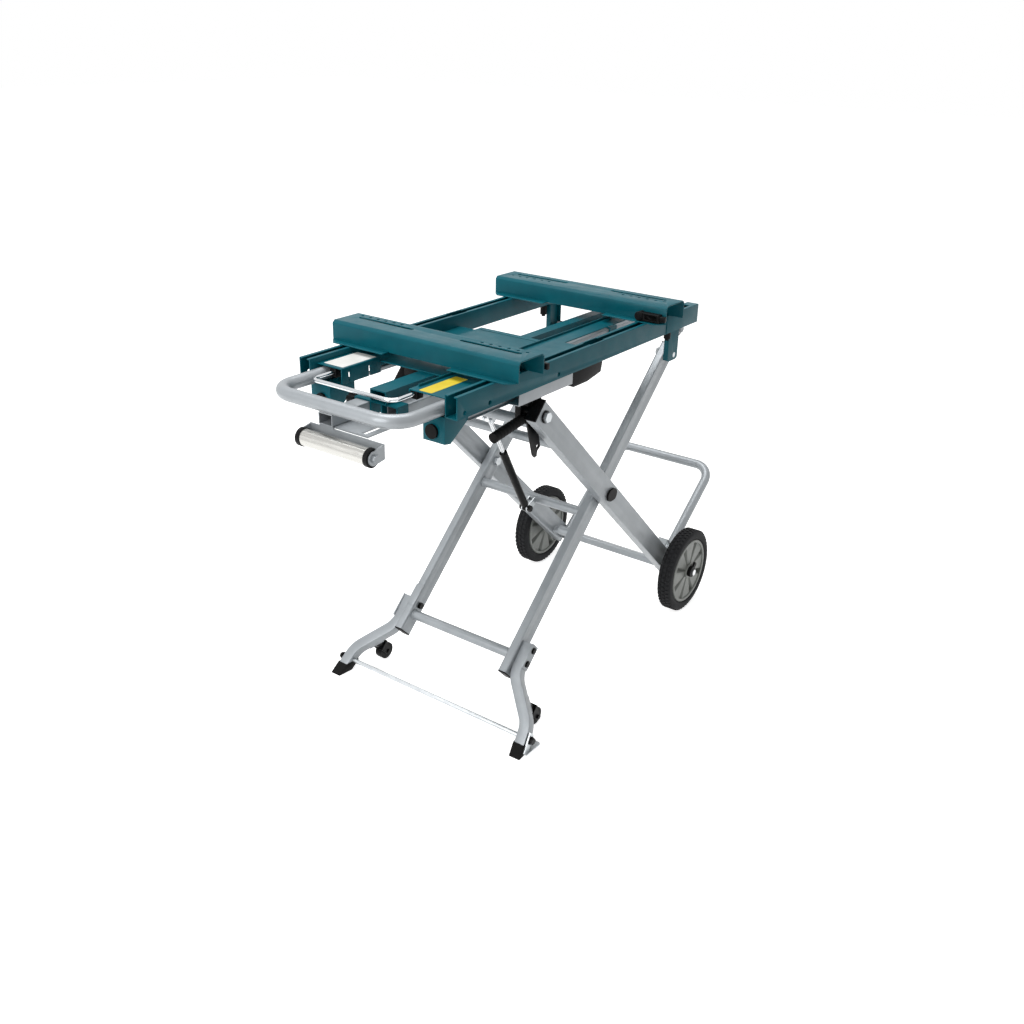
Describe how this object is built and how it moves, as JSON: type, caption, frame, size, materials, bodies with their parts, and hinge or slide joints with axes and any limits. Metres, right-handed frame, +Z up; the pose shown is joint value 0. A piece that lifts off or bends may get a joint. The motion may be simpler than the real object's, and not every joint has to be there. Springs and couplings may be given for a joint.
{
  "type": "miter saw stand",
  "caption": "Folding wheeled stand for a miter saw: rail table with sliding slotted crossbars, extending roller arms, scissor legs with a gas strut, wheels, feet and a carrying handle.",
  "frame": {"origin": "middle of the stand's floor rectangle, on the floor", "axes": "+X from the front handle to the wheels, +Y to the far side, +Z up"},
  "size_m": [1.3235, 0.552, 0.8385],
  "materials": {
    "teal_paint": "gloss enamel",
    "grey_paint": "satin silver-grey",
    "bright_steel": "bright zinc",
    "chrome": "polished",
    "black_steel": "satin black",
    "black_plastic": "matte",
    "black_rubber": "matte",
    "tyre": "matte, treaded",
    "wheel_rim": "satin silver-grey"
  },
  "bodies": {
    "table": {"rail_near": "teal_paint", "rail_far": "teal_paint", "cross_plate": "teal_paint", "rear_member": "teal_paint", "near_shelf": "teal_paint", "far_shelf": "teal_paint", "front_blocks": "teal_paint", "table_plugs": "black_plastic", "handle": "grey_paint", "guide_channels": "grey_paint", "stop_blocks": "black_plastic", "pivot_posts": "teal_paint", "arm_guide": "teal_paint", "table_bolts": "bright_steel", "bail_clips": "black_plastic"},
    "release_bail": {"bail_rod": "chrome"},
    "front_arm": {"front_arm": "grey_paint", "front_roller_bracket": "grey_paint"},
    "front_roller": {"front_roller": "bright_steel", "front_roller_rings": "black_plastic"},
    "front_arm_knob": {"front_arm_knob": "black_plastic"},
    "rear_arm": {"rear_arm": "grey_paint", "rear_roller_bracket": "grey_paint"},
    "rear_roller": {"rear_roller": "bright_steel", "rear_roller_rings": "black_plastic"},
    "rear_arm_knob": {"rear_arm_knob": "black_plastic"},
    "front_crossbar": {"front_crossbar": "teal_paint"},
    "front_clamp": {"front_clamp": "black_plastic"},
    "rear_crossbar": {"rear_crossbar": "teal_paint"},
    "rear_clamp": {"rear_clamp": "black_plastic"},
    "foot_frame": {"foot_leg_near": "grey_paint", "foot_leg_far": "grey_paint", "foot_tubes": "grey_paint", "feet": "grey_paint", "foot_plates": "grey_paint", "foot_shoes": "black_rubber", "leg_plugs": "black_plastic", "foot_bolts": "black_steel", "foot_brackets": "bright_steel"},
    "wheel_frame": {"wheel_leg_near": "grey_paint", "wheel_leg_far": "grey_paint", "wheel_tubes": "grey_paint", "rear_loop": "grey_paint", "wheel_brackets": "bright_steel", "axle_rod": "bright_steel", "wheel_pivots": "bright_steel", "wheel_frame_caps": "black_plastic"},
    "carriage": {"carriage_blocks": "black_plastic"},
    "lock_lever": {"lock_lever": "black_steel", "lever_grip": "black_plastic"},
    "strut_cylinder": {"strut_cylinder": "black_steel"},
    "strut_rod": {"strut_rod": "bright_steel"},
    "wheel_near": {"tyre_near": "tyre", "rim_near": "wheel_rim"},
    "wheel_far": {"tyre_far": "tyre", "rim_far": "wheel_rim"},
    "caster_fork_near": {"caster_fork_near": "black_steel"},
    "caster_wheel_near": {"caster_wheel_near": "black_plastic"},
    "caster_fork_far": {"caster_fork_far": "black_steel"},
    "caster_wheel_far": {"caster_wheel_far": "black_plastic"}
  },
  "joints": [
    {"name": "foot_fold", "type": "hinge", "parent": "table", "child": "foot_frame", "pos_m": [0.32275, 0, 0.684], "axis": [0, 1, 0], "range_deg": [0, 31]},
    {"name": "cross_pivot", "type": "hinge", "parent": "foot_frame", "child": "wheel_frame", "pos_m": [0.04475, 0, 0.423], "axis": [0, 1, 0], "range_deg": [-62, 0]},
    {"name": "slide_pivot", "type": "hinge", "parent": "wheel_frame", "child": "carriage", "pos_m": [-0.23325, 0, 0.684], "axis": [0, 1, 0], "range_deg": [0, 31]},
    {"name": "lock_lever_pivot", "type": "hinge", "parent": "carriage", "child": "lock_lever", "pos_m": [-0.23325, -0.1515, 0.684], "axis": [0, 1, 0], "range_deg": [0, 10], "stiffness_Nm_per_rad": 3, "springref_deg": -11.46},
    {"name": "strut_swing", "type": "hinge", "parent": "foot_frame", "child": "strut_cylinder", "pos_m": [-0.03409, -0.008, 0.36818], "axis": [0, 1, 0], "range_deg": [-71.61, 0]},
    {"name": "strut_stroke", "type": "slide", "parent": "strut_cylinder", "child": "strut_rod", "axis": [-0.4932, 0, 0.8699], "range_m": [-0.093, 0]},
    {"name": "wheel_near_spin", "type": "hinge", "parent": "wheel_frame", "child": "wheel_near", "pos_m": [0.37984, -0.222, 0.1084], "axis": [0, 1, 0], "continuous": true},
    {"name": "wheel_far_spin", "type": "hinge", "parent": "wheel_frame", "child": "wheel_far", "pos_m": [0.37984, 0.222, 0.1084], "axis": [0, 1, 0], "continuous": true},
    {"name": "front_arm_slide", "type": "slide", "parent": "table", "child": "front_arm", "axis": [-1, 0, 0], "range_m": [0, 0.4]},
    {"name": "front_roller_spin", "type": "hinge", "parent": "front_arm", "child": "front_roller", "pos_m": [-0.64425, 0, 0.703], "axis": [0, 1, 0], "continuous": true},
    {"name": "front_arm_lock", "type": "hinge", "parent": "table", "child": "front_arm_knob", "pos_m": [-0.51025, 0.06, 0.7375], "axis": [0, 1, 0], "range_deg": [0, 270]},
    {"name": "rear_arm_slide", "type": "slide", "parent": "table", "child": "rear_arm", "axis": [1, 0, 0], "range_m": [0, 0.4]},
    {"name": "rear_roller_spin", "type": "hinge", "parent": "rear_arm", "child": "rear_roller", "pos_m": [0.47775, 0, 0.703], "axis": [0, 1, 0], "continuous": true},
    {"name": "rear_arm_lock", "type": "hinge", "parent": "table", "child": "rear_arm_knob", "pos_m": [0.22575, 0, 0.7375], "axis": [0, 1, 0], "range_deg": [0, 270]},
    {"name": "front_crossbar_slide", "type": "slide", "parent": "table", "child": "front_crossbar", "axis": [1, 0, 0], "range_m": [-0.1, 0.2]},
    {"name": "front_clamp_pivot", "type": "hinge", "parent": "front_crossbar", "child": "front_clamp", "pos_m": [-0.30925, -0.172, 0.8115], "axis": [-1, 0, 0], "range_deg": [0, 60]},
    {"name": "rear_crossbar_slide", "type": "slide", "parent": "table", "child": "rear_crossbar", "axis": [1, 0, 0], "range_m": [-0.2, 0.12]},
    {"name": "rear_clamp_pivot", "type": "hinge", "parent": "rear_crossbar", "child": "rear_clamp", "pos_m": [0.15575, -0.172, 0.8115], "axis": [-1, 0, 0], "range_deg": [0, 60]},
    {"name": "release_bail_slide", "type": "slide", "parent": "table", "child": "release_bail", "axis": [-1, 0, 0], "range_m": [0, 0.02], "stiffness_N_per_m": 500, "springref_m": -0.01},
    {"name": "caster_swivel_near", "type": "hinge", "parent": "foot_frame", "child": "caster_fork_near", "pos_m": [-0.31275, -0.216, 0.05856], "axis": [-0.7168, 0, 0.6972], "continuous": true},
    {"name": "caster_spin_near", "type": "hinge", "parent": "caster_fork_near", "child": "caster_wheel_near", "pos_m": [-0.28574, -0.216, 0.02294], "axis": [0, 1, 0], "continuous": true},
    {"name": "caster_swivel_far", "type": "hinge", "parent": "foot_frame", "child": "caster_fork_far", "pos_m": [-0.31275, 0.216, 0.05856], "axis": [-0.7168, 0, 0.6972], "continuous": true},
    {"name": "caster_spin_far", "type": "hinge", "parent": "caster_fork_far", "child": "caster_wheel_far", "pos_m": [-0.28574, 0.216, 0.02294], "axis": [0, 1, 0], "continuous": true}
  ],
  "couplings": [
    {"joint": "cross_pivot", "follows": "foot_fold", "ratio": -2},
    {"joint": "slide_pivot", "follows": "foot_fold", "ratio": 1},
    {"joint": "strut_swing", "follows": "foot_fold", "ratio": -2.31},
    {"joint": "strut_stroke", "follows": "foot_fold", "m_per_rad": -0.17189}
  ]
}
